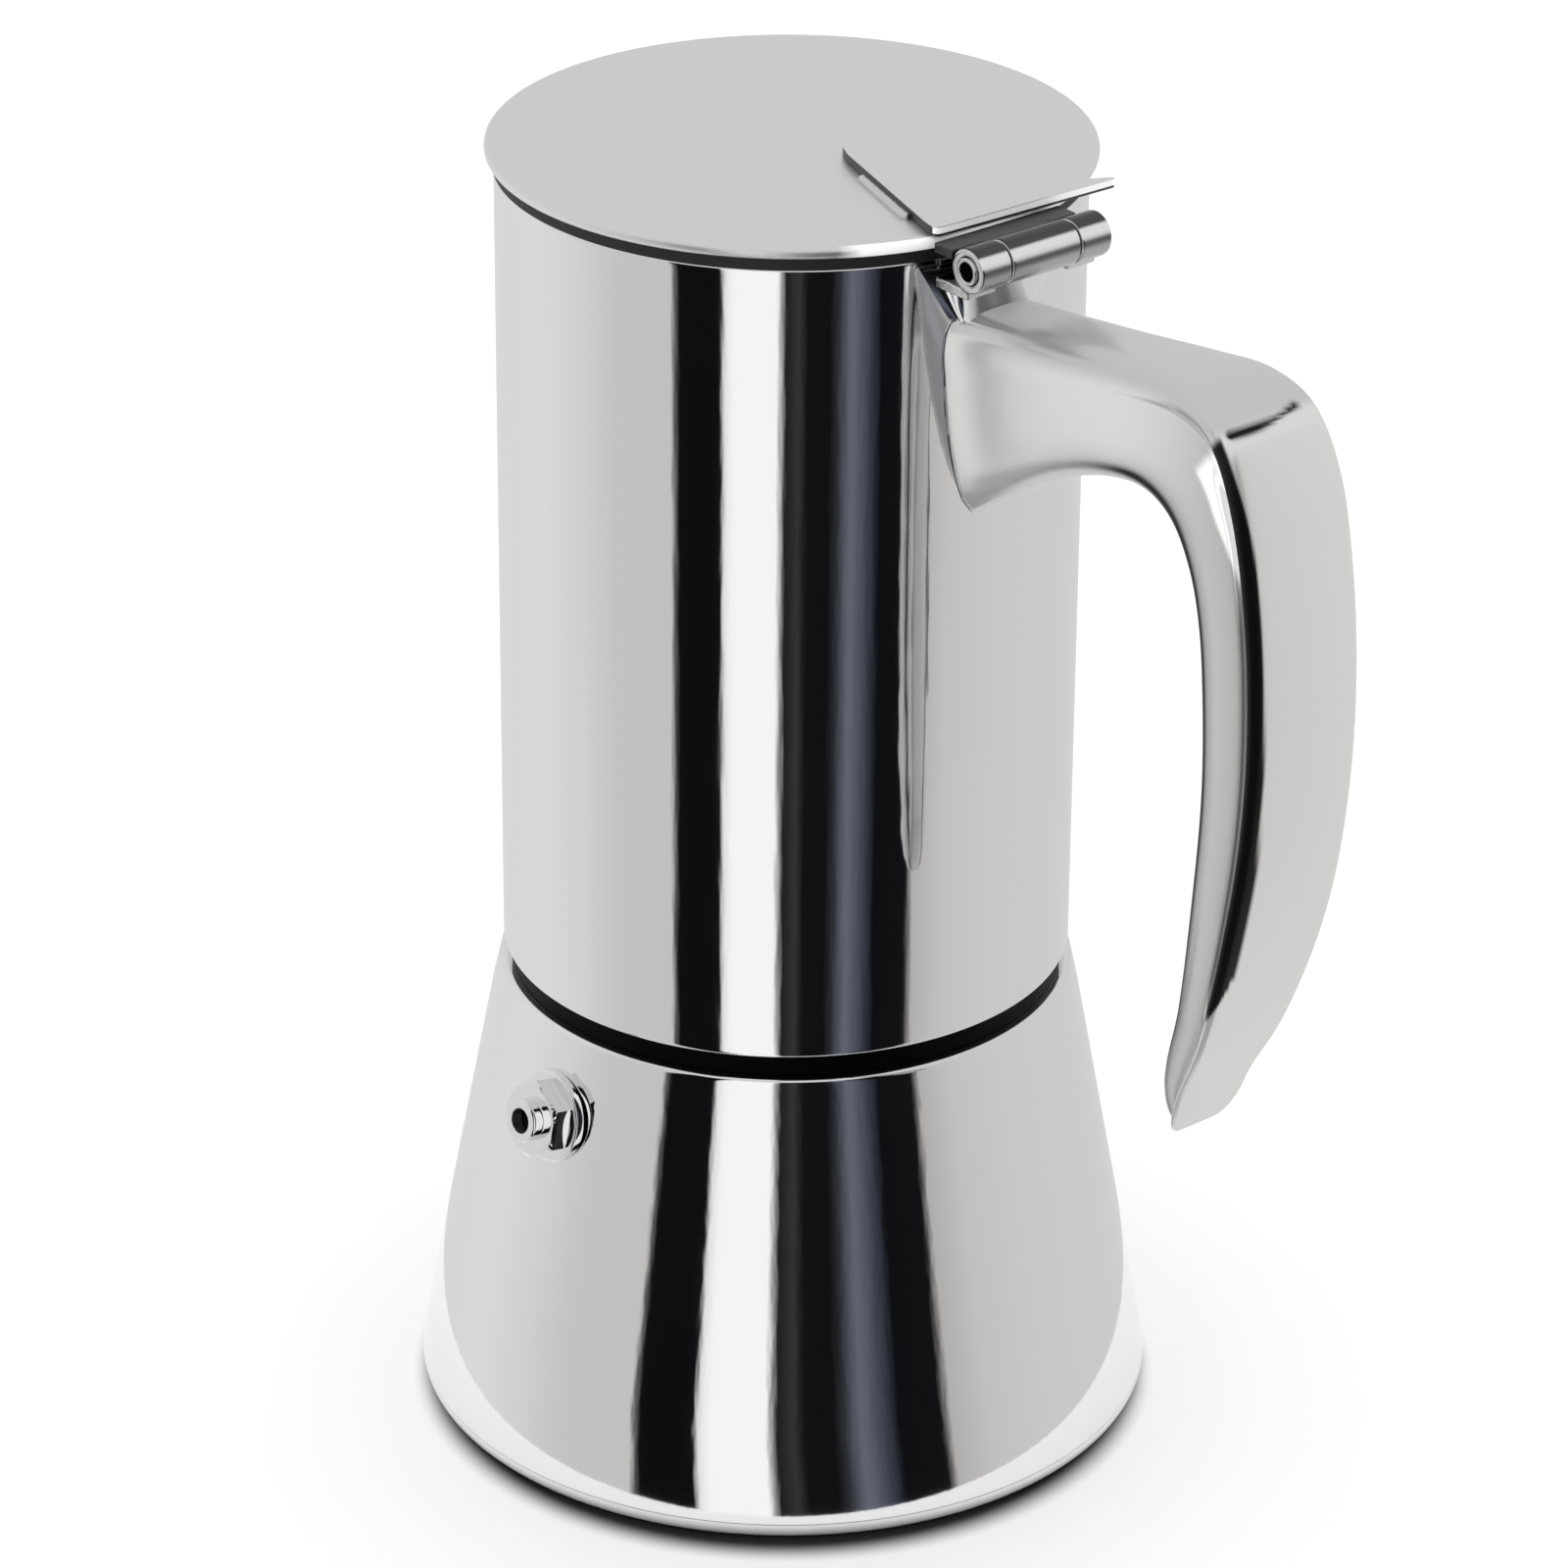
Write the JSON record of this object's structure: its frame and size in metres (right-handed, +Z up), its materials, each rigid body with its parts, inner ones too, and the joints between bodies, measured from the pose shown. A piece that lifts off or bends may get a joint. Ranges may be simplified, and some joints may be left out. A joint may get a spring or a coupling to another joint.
{
  "type": "moka pot",
  "caption": "Stainless steel stovetop coffee maker: conical boiler with safety valve, funnel, screw-on upper pot with hollow handle and hinged lid.",
  "frame": {"origin": "centre of the flat underside of the base, where the pot stands", "axes": "+Z up along the pot's axis, +X towards the handle, the hinge pin along Y, the safety valve 88.5 degrees round towards -Y, the pouring lip towards -X"},
  "size_m": [0.1472, 0.1, 0.1804],
  "materials": {
    "polished_steel": "mirror-polished stainless steel",
    "satin_steel": "satin stainless steel with a very fine grain",
    "hinge_steel": "tumbled bright steel",
    "inner_steel": "plain drawn stainless steel",
    "heat_aluminium": "as cast",
    "black_silicone": "matt black",
    "white_silicone": "matt white"
  },
  "bodies": {
    "boiler": {"boiler_shell": "polished_steel", "base_cap": "polished_steel", "heat_disc": "heat_aluminium", "neck_ring": "inner_steel", "valve_body": "polished_steel", "valve_plug": "polished_steel", "valve_washer": "white_silicone", "valve_nut": "inner_steel", "valve_spring": "inner_steel"},
    "valve_ball": {"valve_ball": "inner_steel"},
    "funnel": {"funnel": "inner_steel", "funnel_plate": "inner_steel"},
    "seal": {"gasket": "white_silicone", "filter_plate": "inner_steel"},
    "collector": {"collector_shell": "polished_steel", "collector_floor": "inner_steel", "thread_ring": "inner_steel", "column": "inner_steel", "column_cap": "inner_steel", "handle": "polished_steel", "hinge_bracket": "polished_steel", "hinge_pin": "hinge_steel"},
    "lid": {"lid_disc": "satin_steel", "lid_seal": "black_silicone", "thumb_plate": "satin_steel", "lid_knuckle": "hinge_steel"}
  },
  "joints": [
    {"name": "funnel_lift", "type": "slide", "parent": "boiler", "child": "funnel", "axis": [0, 0, 1], "range_m": [0, 0.072]},
    {"name": "collector_lift", "type": "slide", "parent": "funnel", "child": "seal", "axis": [0, 0, 1], "range_m": [0, 0.0075]},
    {"name": "collector_turn", "type": "hinge", "parent": "seal", "child": "collector", "pos_m": [0, 0, 0.07], "axis": [0, 0, 1], "range_deg": [0, 900]},
    {"name": "lid_hinge", "type": "hinge", "parent": "collector", "child": "lid", "pos_m": [0.046, 0, 0.177], "axis": [0, 1, 0], "range_deg": [0, 105]},
    {"name": "valve_lift", "type": "slide", "parent": "boiler", "child": "valve_ball", "axis": [0.0257, -0.9824, 0.1849], "range_m": [0, 0.001], "stiffness_N_per_m": 500, "springref_m": -0.002, "deforming": ["valve_spring"]}
  ],
  "couplings": [
    {"joint": "collector_lift", "follows": "collector_turn", "m_per_rad": 0.00047746}
  ]
}
